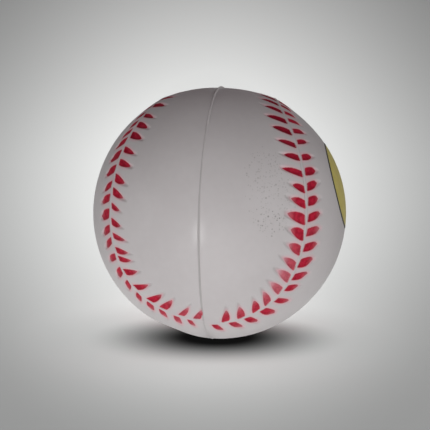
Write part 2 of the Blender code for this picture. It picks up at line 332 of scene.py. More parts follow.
class StitchRow:
    """One row of leaf-shaped pockets beside the seam, each a little unlike the next."""

    def __init__(self, side, row, run):
        style = STYLES[side, row]
        self.side = side
        self.row = row
        self.style = style
        draw = np.random.default_rng(STITCH_SEED + 2 * side + row)
        even = np.linspace(style.first, run - style.last, style.count)
        opened = bell(run - even, CROWN_REACH) - bell(even, CROWN_REACH)
        even = even + style.crown * opened + draw.normal(0.0, PLACE_JITTER, style.count)
        self.place = even + MM * self.stretches(PLACE_STRETCHES, even)
        self.midway = (self.place[1:] + self.place[:-1]) / 2.0
        self.length = style.length * self.varied(draw, LONG_STRETCHES)
        self.width = style.width * self.varied(draw, WIDE_STRETCHES)
        self.tail = style.tail * (1.0 + self.stretches(TAIL_STRETCHES, self.place))
        self.lean = style.lean * (1.0 + self.stretches(LEAN_STRETCHES, self.place))
        self.lean = self.lean + draw.normal(0.0, LEAN_JITTER, style.count)
        # Thinness of the spray, and below nought painted shade on some leaves
        self.thin = self.stretches(THIN_AND_SHADE_STRETCHES, self.place)
        self.thin = self.thin + np.abs(draw.normal(0.0, THIN_JITTER, style.count))

    def stretches(self, table, place):
        """Sum of bell curves at each leaf's place, one for each stretch listed for this row."""
        return bells(table.get((self.side, self.row), ()), place)

    def varied(self, draw, table):
        """Seeded sizes about 1, times 1 and the gain of the stretches that a leaf lies in."""
        jitter = draw.normal(0.0, SIZE_JITTER, self.style.count)
        return (1.0 + jitter) * (1.0 + self.stretches(table, self.place))

    def nearest(self, travel, offset):
        """Index of the leaf nearest to each point, allowing for the lean of the leaves."""
        share = np.clip((self.row * offset - self.style.gap) / self.style.length, 0.0, 1.0)
        return np.searchsorted(self.midway, travel - self.style.lean * share)

    def half_width(self, share, width, bow):
        """Half a leaf's width: one less a power of the share, drawn in by another towards the base."""
        drawn_in = self.style.base_cut * (1.0 - share) ** BASE_POWER
        return width / 2.0 * (1.0 - share ** bow) * (1.0 - drawn_in)

    def outline(self, travel, offset, stretch=1.0, bluntness=1.0):
        """Signed distance from the nearest leaf's outline, negative inside, with its share and index.

        The centreline leans ahead in proportion to the share of the length. The distance is the
        smooth maximum of those from the sides and from the two ends.
        """
        style = self.style
        index = self.nearest(travel, offset)
        stretch = np.broadcast_to(stretch, style.count)[index]
        ahead = travel - self.place[index]
        out = self.row * offset - style.gap - style.shear * ahead
        length = self.length[index] * stretch
        share = np.clip(out / length, 0.0, 1.0)
        beside = np.abs(ahead - self.lean[index] * stretch * share)
        sides = beside - self.half_width(share, self.width[index], style.bow * bluntness)
        ends = np.maximum(-out, out - length)
        return smooth_maximum(sides, ends, LEAF_ROUNDING), share, index

    def recess(self, travel, offset):
        """Depth of the pockets: deepest at the base, running out with softer walls past the painted tip."""
        edge, share, _ = self.outline(travel, offset, self.tail, POCKET_BLUNTNESS)
        wall = POCKET_WALL * (1.0 + share)
        depth = POCKET_DEPTH * (1.0 - POCKET_RUNOUT * share) * ease((-edge - POCKET_INSET) / wall)
        return depth * ease((BAND_REACH - np.abs(offset)) / BAND_FADE)


class SkinHalf:
    """The skin over one mould half, addressed by travel along its seam and offset across it."""

    def __init__(self, side):
        self.side = side
        start = side * math.pi / 2.0
        self.parameter = np.linspace(start - SEAM_LEAD, start + math.pi + SEAM_LEAD, SEAM_SAMPLES)
        self.path = seam_directions(self.parameter)
        step = np.linalg.norm(np.diff(self.path, axis=0), axis=1) * BALL_RADIUS
        travel = np.concatenate([[0.0], np.cumsum(step)])
        self.travel = travel - np.interp(start, self.parameter, travel)
        self.run = float(np.interp(start + math.pi, self.parameter, self.travel))
        along = np.gradient(self.path, axis=0)
        along /= np.linalg.norm(along, axis=1)[:, None]
        self.across = np.cross(self.path, along)
        self.tilt = np.array(Matrix.Rotation(SEAM_TILT + side * MOULD_TWIST / 2.0, 3, "X"))
        self.rows = tuple(StitchRow(side, row, self.run) for row in (INNER, OUTER))

    def along_seam(self, values, travel):
        """Vectors read along the seam at each travel."""
        return np.stack([np.interp(travel, self.travel, values[:, k]) for k in range(3)], axis=-1)

    def direction(self, travel, offset):
        """Unit vectors before the tilt: the seam's point turned aside by offset and stray over radius."""
        angle = ((offset + self.stray(travel)) / BALL_RADIUS)[..., None]
        turned = self.along_seam(self.path, travel) * np.cos(angle)
        turned = turned + self.along_seam(self.across, travel) * np.sin(angle)
        return turned / np.linalg.norm(turned, axis=-1)[..., None]

    def stray(self, travel):
        """How far the seam lies to the inner side of its line in the solids: a shift and bell curves."""
        return SEAM_SHIFT + MM * bells(SEAM_STRAYS[self.side], travel)

    def seat(self, direction):
        """Tilt unit vectors about X, then draw them to the half's pole so that the rim clears the flash.

        The angle from the pole shrinks in one proportion, until the rim lies half a flash from x = 0.
        """
        tilted = direction @ self.tilt.T
        polar = np.arccos(np.clip(self.side * tilted[..., 0], -1.0, 1.0))
        drawn = polar * math.acos(FLASH_THICKNESS / 2.0 / BALL_RADIUS) / (math.pi / 2.0)
        around = tilted[..., 1:] * (np.sin(drawn) / np.maximum(np.sin(polar), 1e-9))[..., None]
        return np.concatenate([self.side * np.cos(drawn)[..., None], around], axis=-1)

    def relief(self, travel, offset):
        """Height beside the seam: a broad swell, the round rib and, less, the pockets of both rows.

        The swell falls as the squared complement of the squared offset, the rib as a half wave.
        """
        swell = SWELL_HEIGHT * np.clip(1.0 - (offset / BAND_REACH) ** 2, 0.0, 1.0) ** 2
        rib = RIB_HEIGHT * ease(1.0 - np.abs(offset) / (RIB_WIDTH / 2.0 + POCKET_WALL / 2.0))
        return swell + rib - self.recess(travel, offset)

    def recess(self, travel, offset):
        """Depth of the pockets of both rows."""
        return sum(row.recess(travel, offset) for row in self.rows)

    def crease(self, travel):
        """How much painted shade darkens the crease beside the rib: bell curves along the seam."""
        return bells(CREASE_SHADES[self.side], travel)

    def surface(self, travel, offset, lift):
        """Points on the finished skin, raised by a lift."""
        height = self.relief(travel, offset) + lift
        return on_ball(self.seat(self.direction(travel, offset)), height)

    def stitch_marks(self, travel, offset):
        """What the finishes read at each point, in millimetres and shares, in the order of FAR_MARKS."""
        found = [row.outline(travel, offset) for row in self.rows]
        inner = found[0][0] < found[1][0]
        thin = [row.thin[index] for row, (_, _, index) in zip(self.rows, found)]
        return {
            "stitch_edge": np.where(inner, found[0][0], found[1][0]) / MM,
            "stitch_share": np.where(inner, found[0][1], found[1][1]),
            "stitch_thin_and_shade": np.where(inner, thin[0], thin[1]),
            "pocket_depth": self.recess(travel, offset) / MM,
            "seam_offset": offset / MM,
            "crease_shade": self.crease(travel),
        }


# Marks of a point away from the seam: signed distance from the nearest leaf's paint, share of its length,
# how thin its spray is (below nought, how far painted shade darkens it), depth of its pocket, distance from
# the rib, and painted shade in the crease beside the rib
FAR_MARKS = {
    "stitch_edge": 9.0,
    "stitch_share": 0.0,
    "stitch_thin_and_shade": 0.0,
    "pocket_depth": 0.0,
    "seam_offset": 9.0,
    "crease_shade": 0.0,
}


def turn_outwards(points, faces):
    """Reverse every face if the closed surface's signed volume is negative."""
    volume = 0.0
    for group in faces:
        for k in range(1, group.shape[1] - 1):
            a, b, c = points[group[:, 0]], points[group[:, k]], points[group[:, k + 1]]
            volume += np.sum(a * np.cross(b, c))
    return faces if volume > 0.0 else [group[:, ::-1] for group in faces]


def make_piece(name, points, faces, finish, marks=None):
    """Mesh object on the ball's body from whole arrays, without the points that no face uses."""
    used, number = np.unique(np.concatenate([group.ravel() for group in faces]), return_inverse=True)
    points = points.reshape(-1, 3)[used]
    ends = np.cumsum([group.size for group in faces])[:-1]
    faces = [part.reshape(group.shape) for part, group in zip(np.split(number.ravel(), ends), faces)]
    mesh = bpy.data.meshes.new(name)
    listed = [face for group in turn_outwards(points - CENTRE, faces) for face in group.tolist()]
    mesh.from_pydata(points.tolist(), [], listed)
    for label, values in (marks or {}).items():
        layer = mesh.attributes.new(label, "FLOAT", "POINT")
        layer.data.foreach_set("value", values.ravel()[used].astype(np.float32))
    mesh.shade_smooth()
    mesh.set_sharp_from_angle(angle=SHARP_ANGLE)
    mesh.materials.append(finish)
    piece = bpy.data.objects.new(name, mesh)
    bpy.context.scene.collection.objects.link(piece)
    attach(piece, "root")
    return piece


def grid_faces(index):
    """Quads between neighbouring rows and columns of a grid of point numbers."""
    corners = (index[:-1, :-1], index[:-1, 1:], index[1:, 1:], index[1:, :-1])
    return np.stack([corner.ravel() for corner in corners], axis=-1)


def fan_faces(ring, pole):
    """Triangles from a closed ring of point numbers to one pole."""
    return np.stack([ring, np.roll(ring, -1), np.full(len(ring), pole)], axis=-1)


def closed_round(index):
    """Grid of point numbers with its first column repeated after its last."""
    return np.concatenate([index, index[:, :1]], axis=1)


def capped_faces(index):
    """Faces of a surface of closed rings, one in each row of point numbers, that ends in two poles."""
    body = index[1:-1]
    fans = [fan_faces(body[0], index[0, 0]), fan_faces(body[-1][::-1], index[-1, 0])]
    return [grid_faces(closed_round(body))[:, ::-1], np.concatenate(fans)]


def foam_skin(half, name, finish):
    """One half of the skin: outer surface on a grid along and across the seam, rim and inner dome.

    Across, a column runs from the panel's spine on the parting circle, over the band of stitches,
    to the other panel's spine in the plane y = 0. The first spine's angle from the top swings as the
    sine of the seam parameter, the second's from the bottom as the size of its cosine, so the second
    is walked there and back and its two walks are one line of points.
    """
    travel = np.linspace(0.0, half.run, GRID_ALONG + 1)
    parameter = np.interp(travel, half.travel, half.parameter)
    offset = np.linspace(BAND_REACH, -BAND_REACH, GRID_BAND + 1)
    s, v = np.meshgrid(travel, offset, indexing="ij")
    band = half.direction(s, v)
    front = SPINE_SWING * np.sin(parameter)
    under = SPINE_SWING * np.abs(np.cos(parameter))
    nought = np.zeros_like(parameter)
    spine_a = np.stack([nought, -np.sin(front), np.cos(front)], axis=-1)
    spine_b = np.stack([half.side * np.sin(under), nought, -np.cos(under)], axis=-1)
    share = np.linspace(0.0, 1.0, GRID_PANEL + 1)[1:]
    share = PANEL_EVENNESS * share + (1.0 - PANEL_EVENNESS) * share ** 2
    share = share[None, :, None]
    panel_a = slerp(band[:, :1], spine_a[:, None], share)[:, ::-1]
    panel_b = slerp(band[:, -1:], spine_b[:, None], share)
    direction = half.seat(np.concatenate([panel_a, band, panel_b], axis=1))
    edges = ((0, 0), (GRID_PANEL, GRID_PANEL))
    outer = on_ball(direction, np.pad(half.relief(s, v), edges))

    last = direction.shape[1] - 1
    index = np.arange((GRID_ALONG + 1) * (last + 1)).reshape(GRID_ALONG + 1, last + 1)
    walk = np.arange(GRID_ALONG + 1)
    index[:, last] = index[np.minimum(walk, GRID_ALONG - walk), last]
    loop = np.concatenate([index[0, last:0:-1], index[:-1, 0], index[-1, :last]])
    rim = direction.reshape(-1, 3)[loop]
    polar = np.arccos(half.side * rim[:, 0])
    shrink = (1.0 - np.arange(DOME_RINGS) / DOME_RINGS)[:, None] * polar
    around = np.sin(shrink)[..., None] * (rim[:, 1:] / np.sin(polar)[:, None])
    dome = np.concatenate([half.side * np.cos(shrink)[..., None], around], axis=-1)
    rings = index.size + np.arange(DOME_RINGS * len(loop)).reshape(DOME_RINGS, len(loop))
    dome = np.concatenate([dome.reshape(-1, 3), [[half.side, 0.0, 0.0]]])
    inner = on_ball(dome, np.full(len(dome), -SKIN_THICKNESS))
    closed = closed_round(rings)
    joint = np.stack([np.append(loop, loop[0]), closed[0]])
    faces = [
        np.concatenate([grid_faces(index), grid_faces(joint), grid_faces(closed)]),
        fan_faces(rings[-1], index.size + rings.size),
    ]
    marks = {}
    for label, values in half.stitch_marks(s, v).items():
        far = FAR_MARKS[label]
        marks[label] = np.append(np.pad(values, edges, constant_values=far), np.full(len(inner), far))
    points = np.concatenate([outer.reshape(-1, 3), inner])
    return make_piece(name, points, faces, finish, marks)


# Dabs of paint: rings from the top pole to the low one, by their share of the leaf's outline and their
# lift, about a middle at a share of the leaf's length
DAB_SCALES = np.array([0.0, 0.45, 0.8, 1.0, 0.0])
DAB_LIFTS = np.array([0.05, 0.05, 0.04, -0.02, -0.1]) * MM
DAB_MIDDLE = 0.36
DAB_STEPS = 8


def row_of_dabs(half, row):
    """Points of one row's dabs, by leaf, ring and step round it, with their travel and offset.

    Round a dab the share of the leaf's length rises along its front side and falls along its back
    side as a squared sine. Rings shrink towards the leaf's middle, on top and to one pole below.
    """
    climb = np.sin(np.linspace(0.0, math.pi / 2.0, DAB_STEPS + 1)) ** 2
    share = np.concatenate([climb, climb[-2::-1]])
    front = np.concatenate([np.ones(DAB_STEPS + 1), -np.ones(DAB_STEPS)])
    side = front * row.half_width(share, row.width[:, None], row.style.bow)
    ahead = row.lean[:, None, None] * DAB_MIDDLE
    ahead = ahead + DAB_SCALES[:, None] * (row.lean[:, None] * (share - DAB_MIDDLE) + side)[:, None, :]
    out = row.length[:, None, None] * DAB_MIDDLE
    out = out + DAB_SCALES[:, None] * (row.length[:, None] * (share - DAB_MIDDLE))[:, None, :]
    travel = row.place[:, None, None] + ahead
    offset = row.row * (row.style.gap + out + row.style.shear * ahead)
    lift = np.broadcast_to(DAB_LIFTS[:, None], travel.shape)
    return half.surface(travel, offset, lift), travel, offset


def dab_faces(index, row):
    """Quads between a dab's rings and triangles to its two poles.

    The point numbers go by leaf, ring and step. The outer row's dabs are mirrored, so their faces are
    turned round.
    """
    ahead = np.roll(index, -1, axis=2)
    quads = np.stack([index[:, 1:3], ahead[:, 1:3], ahead[:, 2:4], index[:, 2:4]], axis=-1)
    poles = np.broadcast_to(index[:, :, :1], index.shape)
    top = np.stack([index[:, 1], poles[:, 0], ahead[:, 1]], axis=-1)
    low = np.stack([index[:, 3], ahead[:, 3], poles[:, 4]], axis=-1)
    fans = np.concatenate([top.reshape(-1, 3), low.reshape(-1, 3)])
    return quads.reshape(-1, 4)[:, ::row], fans[:, ::row]


def stitch_paint(half, name, finish):
    """Dabs of paint in one half's pockets, each a closed lens that follows the pocket."""
    points, marks, quads, fans, count = [], [], [], [], 0
    for row in half.rows:
        placed, travel, offset = row_of_dabs(half, row)
        four, three = dab_faces(count + np.arange(travel.size).reshape(travel.shape), row.row)
        points.append(placed.reshape(-1, 3))
        marks.append(half.stitch_marks(travel, offset))
        quads.append(four)
        fans.append(three)
        count += travel.size
    merged = {label: np.concatenate([part[label].ravel() for part in marks]) for label in FAR_MARKS}
    faces = [np.concatenate(quads), np.concatenate(fans)]
    return make_piece(name, np.concatenate(points), faces, finish, merged)


def rim_heights(half, angle):
    """Relief at one half's rim, by angle round the parting circle from the top towards the front."""
    height = np.zeros_like(angle)
    for travel in (0.0, half.run):
        crossing = half.seat(half.direction(np.array([travel]), np.zeros(1)))[0]
        at = math.atan2(-crossing[1], crossing[2])
        gap = (angle - at + math.pi) % (2.0 * math.pi) - math.pi
        toward_front = -1.0 if crossing[1] < 0.0 else 1.0
        offset = toward_front * gap * BALL_RADIUS
        near = np.abs(offset) < BAND_REACH
        height += np.where(near, half.relief(np.full_like(angle, travel), np.where(near, offset, 0.0)), 0.0)
    return height


def parting_bead(halves, finish):
    """Bead of foam that the mould squeezed out: a rounded profile carried round the parting circle.

    Its feet follow the rims of both halves. Its crest is highest at the top and sinks into a groove low
    in front, as bell curves of the angle with slow ripples. Painted shade lies in the groove and beside the
    bead.
    """
    angle = np.arange(BEAD_STEPS) * 2.0 * math.pi / BEAD_STEPS
    from_top = np.minimum(angle, 2.0 * math.pi - angle)
    groove = bell(angle - GROOVE_ANGLE, GROOVE_SPREAD)
    crest = BEAD_CREST + BEAD_TOP_GAIN * bell(from_top, BEAD_TOP_SPREAD) - GROOVE_LOSS * groove
    crest = crest + sum(height * np.sin(count * angle + start) for count, start, height in BEAD_RIPPLES)
    left, right = (rim_heights(half, angle) for half in halves)
    toward_right = ease(0.5 + BEAD_ACROSS / FLASH_THICKNESS)
    height = left[:, None] * (1.0 - toward_right) + right[:, None] * toward_right
    height = height + crest[:, None] * BEAD_RISE
    across = np.append(BEAD_ACROSS, [BEAD_FOOT, -BEAD_FOOT])
    height = np.concatenate([height, np.full((BEAD_STEPS, 2), -SKIN_THICKNESS)], axis=1)
    level = np.sqrt(1.0 - (across / BALL_RADIUS) ** 2)
    x = np.broadcast_to(across / BALL_RADIUS, height.shape)
    direction = np.stack([x, -np.sin(angle)[:, None] * level, np.cos(angle)[:, None] * level], axis=-1)
    index = np.arange(height.size).reshape(height.shape)
    index = closed_round(np.concatenate([index, index[:1]]))
    marks = {label: np.full(height.shape, value) for label, value in FAR_MARKS.items()}
    # Painted shade: a grey line along the bead's left foot, moving to its middle in the groove
    aside = FLASH_THICKNESS / 2.0 * (1.0 - groove[:, None])
    marks["seam_offset"] = CREASE_OFFSET + (across + aside) / (BEAD_SHADE_WIDENING * MM)
    painted_shade = GROOVE_SHADE * groove + BEAD_SHADE * bell(angle - BEAD_SHADE_ANGLE, BEAD_SHADE_SPREAD)
    marks["crease_shade"] = np.broadcast_to(painted_shade[:, None], height.shape)
    return make_piece("parting_bead", on_ball(direction, height), [grid_faces(index)], finish, marks)


def print_directions(distance, angle):
    """Unit vectors at a distance from the print's middle, measured in a plane across it, and an angle."""
    lean = distance / BALL_RADIUS
    middle = np.array([math.cos(PRINT_ELEVATION), 0.0, math.sin(PRINT_ELEVATION)])
    up = np.array([-math.sin(PRINT_ELEVATION), 0.0, math.cos(PRINT_ELEVATION)])
    side = np.array([0.0, 1.0, 0.0])
    turn = np.cos(angle)[..., None] * side + np.sin(angle)[..., None] * up
    return np.sqrt(1.0 - lean ** 2)[..., None] * middle + lean[..., None] * turn


def ink_film(name, distances, lifts, finish):
    """Closed film of ink on the skin, turned about the print's middle from a profile.

    The profile gives distances from the middle and lifts over the skin. A profile that starts and
    ends at nought closes in two poles, and any other is a closed ring.
    """
    angle = np.arange(INK_STEPS) * 2.0 * math.pi / INK_STEPS
    grid, turn = np.meshgrid(distances, angle, indexing="ij")
    points = on_ball(print_directions(grid, turn), np.broadcast_to(lifts[:, None], grid.shape))
    index = np.arange(grid.size).reshape(grid.shape)
    if distances[0] == 0.0:
        faces = capped_faces(index)
    else:
        faces = [grid_faces(closed_round(np.concatenate([index, index[:1]])))]
    return make_piece(name, points, faces, finish)


def printed_disc(finish):
    """Plain disc of the print: a film that thins to its edge under the ring."""
    edge = PRINT_RADIUS - DISC_INSET
    top = np.linspace(0.0, 1.0, DISC_RINGS) * edge
    low = DISC_UNDERSIDE * edge
    lifts = np.full(DISC_RINGS + len(low), -INK_SINK)
    lifts[:DISC_RINGS - 1] = INK_LIFT
    lifts[DISC_RINGS - 1] = -INK_SINK / 4.0
    return ink_film("printed_disc", np.concatenate([top, low]), lifts, finish)


def printed_ring(finish):
    """Dark ring round the disc: a low rounded film."""
    distances = PRINT_RADIUS - PRINT_RING_WIDTH + RING_SHARES * PRINT_RING_WIDTH
    return ink_film("printed_ring", distances, RING_LIFTS, finish)


def cellular_core(finish):
    """Soft foam inside the skin: a ball whose radius ripples as a sum of sine waves."""
    rings = np.linspace(0.0, math.pi, CORE_RINGS + 1)
    steps = np.arange(CORE_STEPS) * 2.0 * math.pi / CORE_STEPS
    polar, turn = np.meshgrid(rings, steps, indexing="ij")
    level = np.sin(polar)
    direction = np.stack([level * np.cos(turn), level * np.sin(turn), np.cos(polar)], axis=-1)
    draw = np.random.default_rng(CORE_SEED)
    waves = draw.normal(0.0, CORE_SWINGS, (CORE_WAVES, 3))
    starts = draw.uniform(0.0, 2.0 * math.pi, CORE_WAVES)
    ripple = CORE_RIPPLE * sine_waves(direction, waves, starts)
    points = on_ball(direction, ripple - SKIN_THICKNESS - CORE_CLEARANCE)
    index = np.arange(polar.size).reshape(polar.shape)
    return make_piece("cellular_core", points, capped_faces(index), finish)


class Wire:
    """A shader socket whose arithmetic adds Math nodes to its own tree."""

    def __init__(self, tree, socket=None):
        self.tree = tree
        self.socket = socket

    def node(self, kind, settings=None, inputs=None, output=0):
        """Add any node: its settings first, then the values or links of its sockets."""
        made = self.tree.nodes.new(kind)
        for name, value in (settings or {}).items():
            setattr(made, name, value)
        for name, value in (inputs or {}).items():
            if isinstance(value, Wire):
                self.tree.links.new(value.socket, made.inputs[name])
            else:
                made.inputs[name].default_value = value
        return Wire(self.tree, made.outputs[output])

    def math(self, operation, *values):
        """Math node of the given operation on these values."""
        return self.node("ShaderNodeMath", {"operation": operation}, dict(enumerate(values)))

    def __add__(self, other):
        return self.math("ADD", self, other)

    def __radd__(self, other):
        return self.math("ADD", other, self)

    def __sub__(self, other):
        return self.math("SUBTRACT", self, other)

    def __rsub__(self, other):
        return self.math("SUBTRACT", other, self)

    def __mul__(self, other):
        return self.math("MULTIPLY", self, other)

    def __rmul__(self, other):
        return self.math("MULTIPLY", other, self)

    def __pow__(self, other):
        return self.math("POWER", self, other)

    def __abs__(self):
        return self.math("ABSOLUTE", self)

    def twin(self, output):
        """Another output of the node that this socket belongs to."""
        return Wire(self.tree, self.socket.node.outputs[output])

    def step(self, low, high):
        """Smooth step of this value: 0 at low, 1 at high."""
        ends = {"Value": self, "From Min": low, "From Max": high}
        return self.node("ShaderNodeMapRange", {"interpolation_type": "SMOOTHSTEP"}, ends)

    def mark(self, name):
        """A value that the mesh carries under this name."""
        return self.node("ShaderNodeAttribute", {"attribute_name": name}, output="Fac")

    def apart(self, place, spot, scale):
        """Distance of a place from a fixed spot, its parts scaled first."""
        between = self.node("ShaderNodeVectorMath", {"operation": "SUBTRACT"}, {0: place, 1: spot})
        return self.squashed(between, scale)

    def squashed(self, place, scale):
        """Length of a vector whose parts are scaled first."""
        scaled = self.node("ShaderNodeVectorMath", {"operation": "MULTIPLY"}, {0: place, 1: scale})
        return self.node("ShaderNodeVectorMath", {"operation": "LENGTH"}, {0: scaled}, output="Value")

    def noise(self, place, size, detail=2.0):
        """Noise from 0 to 1 with features of this size, in metres."""
        inputs = {"Vector": place, "Scale": 1.0 / size, "Detail": detail}
        return self.node("ShaderNodeTexNoise", None, inputs)

    def blend(self, share, first, second):
        """Colour between two colours."""
        return self.node("ShaderNodeMix", {"data_type": "RGBA"}, {0: share, 6: first, 7: second}, output=2)

    def bump(self, height, distance, strength, below=None):
        """Normal of a fine relief of this depth, in metres, over another one if given."""
        inputs = {"Height": height, "Distance": distance, "Strength": strength}
        if below is not None:
            inputs["Normal"] = below
        return self.node("ShaderNodeBump", None, inputs)


def new_finish(name, shade):
    """Material whose Principled inputs come from a function of its tree and its Object coordinates."""
    finish = bpy.data.materials.new(name)
    finish.use_nodes = True
    tree = Wire(finish.node_tree)
    principled = finish.node_tree.nodes["Principled BSDF"]
    place = tree.node("ShaderNodeTexCoord", output="Object")
    for socket, value in shade(tree, place).items():
        if isinstance(value, Wire):
            finish.node_tree.links.new(value.socket, principled.inputs[socket])
        else:
            principled.inputs[socket].default_value = value
    return finish


# Plain foam: two tones in clouds and a finer mottle, a fine orange peel, and gloss beside the parting line
FOAM_LIGHT = (0.605, 0.577, 0.585, 1.0)
FOAM_DULL = (0.570, 0.541, 0.549, 1.0)
# Grey of the painted shade in the pockets' tails, the crease beside the rib and the bead's groove
SHADE_GREY = (0.30, 0.28, 0.28, 1.0)
CLOUD_SIZE = 14.0 * MM
CLOUD_SHARE = 0.7
MOTTLE_SIZE = 1.6 * MM
PEEL_SIZE = 0.5 * MM
PEEL_DEPTH = 0.02 * MM
LINE_GLOSS = 0.155
LINE_REACH = (0.7 * MM, 2.0 * MM)

# Pinholes: how likely one is anywhere, in a patch and in its thicket, and how wide and deep it gets
PINHOLE_DARK = (0.16, 0.15, 0.14, 1.0)
PINHOLE_PITCH = 0.48 * MM
PINHOLE_CHANCE = 0.004
CHANCE_SOFTNESS = 0.03
PATCH_MIDDLE = tuple(CENTRE + np.array([15.1, -26.0, 9.3]) * MM)
PATCH_SQUASH = (1.0, 1.0, 0.6)
PATCH_REACH = (3.0 * MM, 7.5 * MM)
PATCH_CHANCE = 0.55
THICKET_MIDDLE = tuple(CENTRE + np.array([15.4, -27.4, 1.4]) * MM)
THICKET_SQUASH = (1.0, 1.0, 1.5)
THICKET_REACH = (1.5 * MM, 5.5 * MM)
THICKET_CHANCE = 0.4
GIRTH_LEAST = 0.38
GIRTH_GAIN = 0.3
DEPTH_LEAST = 0.24
DEPTH_GAIN = 0.35
THICKET_DEPTH = 0.8
PINHOLE_FLOOR = 0.3

# Sprayed paint: its tones, and its edge, its darker rim, haze and crease as steps of millimetres. The
# darker rim is pooled paint and painted shade, and the tail share is painted shade in the pockets' bare
# tails
PAINT_POOLED_AND_SHADED = (0.20, 0.006, 0.018, 1.0)
PAINT_DEEP = (0.38, 0.009, 0.030, 1.0)
PAINT_MID = (0.55, 0.019, 0.050, 1.0)
PAINT_PALE = (0.58, 0.14, 0.19, 1.0)
PAINT_HAZE = (0.76, 0.42, 0.47, 1.0)
SPRAY_EDGE = (-0.14, 0.1)
SPRAY_MIDDLE = (-0.75, -0.3)
SPRAY_RAGGEDNESS = 0.16
SPRAY_GRAIN = 0.55 * MM
SPRAY_PATCH = 0.9 * MM
HAZE_EDGE = (-0.1, 1.5)
HAZE_OFF_RIB = (0.05, 0.6)
HAZE_SHARE = 0.7
TAIL_SHADE = 0.25
CREASE_EDGE = (0.04, 0.2)

# Inks of the print, and the cells of the foam inside
YELLOW_THIN = (0.58, 0.49, 0.12, 1.0)
YELLOW_FULL = (0.65, 0.56, 0.16, 1.0)
INK_BLACK = (0.020, 0.019, 0.014, 1.0)
INK_WORN = (0.11, 0.10, 0.06, 1.0)
CELL_SIZE = 0.8 * MM
CELL_WALL = (0.80, 0.76, 0.66, 1.0)
CELL_WALL_PALE = (0.86, 0.83, 0.75, 1.0)
# Painted shade in the hollows of the cells
CELL_HOLLOW_SHADE = (0.55, 0.50, 0.40, 1.0)


def open_cells(tree, place):
    """Pinholes of the skin, from 0 to 1: small spots of unlike size, crowded in a patch and its thicket."""
    cells = tree.node("ShaderNodeTexVoronoi", None, {"Vector": place, "Scale": 1.0 / PINHOLE_PITCH})
    lot = tree.node("ShaderNodeSeparateColor", None, {"Color": cells.twin("Color")})
    patch = 1.0 - tree.apart(place, PATCH_MIDDLE, PATCH_SQUASH).step(*PATCH_REACH)
    thicket = 1.0 - tree.apart(place, THICKET_MIDDLE, THICKET_SQUASH).step(*THICKET_REACH)
    chance = PATCH_CHANCE * patch + THICKET_CHANCE * thicket + PINHOLE_CHANCE
    drawn = (chance - lot).step(0.0, CHANCE_SOFTNESS)
    girth = GIRTH_LEAST + GIRTH_GAIN * lot.twin("Green") ** 2.0
    depth = DEPTH_LEAST + (DEPTH_GAIN + THICKET_DEPTH * thicket) * lot.twin("Blue") ** 3.0
    return drawn * (1.0 - cells.step(PINHOLE_FLOOR * girth, girth)) * depth


def fine_grain(tree, place, size, strength):
    """Normal of a fine noise of this size, as deep as the orange peel."""
    return tree.bump(tree.noise(place, size, 3.0), PEEL_DEPTH, strength)


def bare_foam(tree, place, holes):
    """Colour of the plain skin: warm white in soft clouds, darker in the pinholes."""
    mottle = (1.0 - CLOUD_SHARE) * tree.noise(place, MOTTLE_SIZE, 4.0)
    clouds = CLOUD_SHARE * tree.noise(place, CLOUD_SIZE, 3.0) + mottle
    tone = tree.blend(clouds.step(0.3, 0.7), FOAM_DULL, FOAM_LIGHT)
    return tree.blend(0.8 * holes, tone, PINHOLE_DARK)


def sprayed_foam(tree, place, holes):
    """Colour of the skin and its sprayed paint, from the marks that the meshes carry.

    The spray ends softly at the leaf's outline, thins towards some tips, and drifts beyond the edge
    as a pink haze. Its rim is darker with pooled paint and painted shade, and painted shade darkens some
    leaves and greys the pockets' bare tails and the crease on the rib's inner side.
    """
    edge, share, thin = tree.mark("stitch_edge"), tree.mark("stitch_share"), tree.mark("stitch_thin_and_shade")
    foam = bare_foam(tree, place, holes)
    # Painted shade: grey in the pockets' bare tails past the paint
    tail = tree.mark("pocket_depth").step(0.0, 0.3) * share.step(0.75, 1.0)
    foam = tree.blend(TAIL_SHADE * tail, foam, SHADE_GREY)
    offset = tree.mark("seam_offset")
    # Painted shade: a grey line in the crease on the rib's inner side
    line = 1.0 - abs(offset - CREASE_OFFSET).step(*CREASE_EDGE)
    foam = tree.blend(line * tree.mark("crease_shade"), foam, SHADE_GREY)
    ragged = edge + SPRAY_RAGGEDNESS * (tree.noise(place, SPRAY_GRAIN, 3.0) - 0.5)
    haze = abs(offset).step(*HAZE_OFF_RIB) * (1.0 - ragged.step(*HAZE_EDGE)) ** 3.0
    foam = tree.blend(HAZE_SHARE * haze, foam, PAINT_HAZE)
    patchy = tree.noise(place, SPRAY_PATCH, 2.0)
    body = 1.0 - ragged.step(*SPRAY_EDGE)
    cover = body * (1.0 - share.step(0.5, 1.05) * (0.25 + 0.9 * thin)) * (1.0 - 0.45 * thin * patchy)
    paint = tree.blend(patchy.step(0.35, 0.65), PAINT_DEEP, PAINT_MID)
    # Darker towards the leaf's rim: pooled paint and painted shade of the pocket walls
    paint = tree.blend(0.2 * edge.step(*SPRAY_MIDDLE), paint, PAINT_POOLED_AND_SHADED)
    paint = tree.blend(0.9 * thin * (0.3 + share), paint, PAINT_PALE)
    # Below nought, the thinness stands for painted shade that darkens the paint
    paint = tree.blend(-1.0 * thin, paint, PAINT_POOLED_AND_SHADED)
    return tree.blend(cover, foam, paint), body


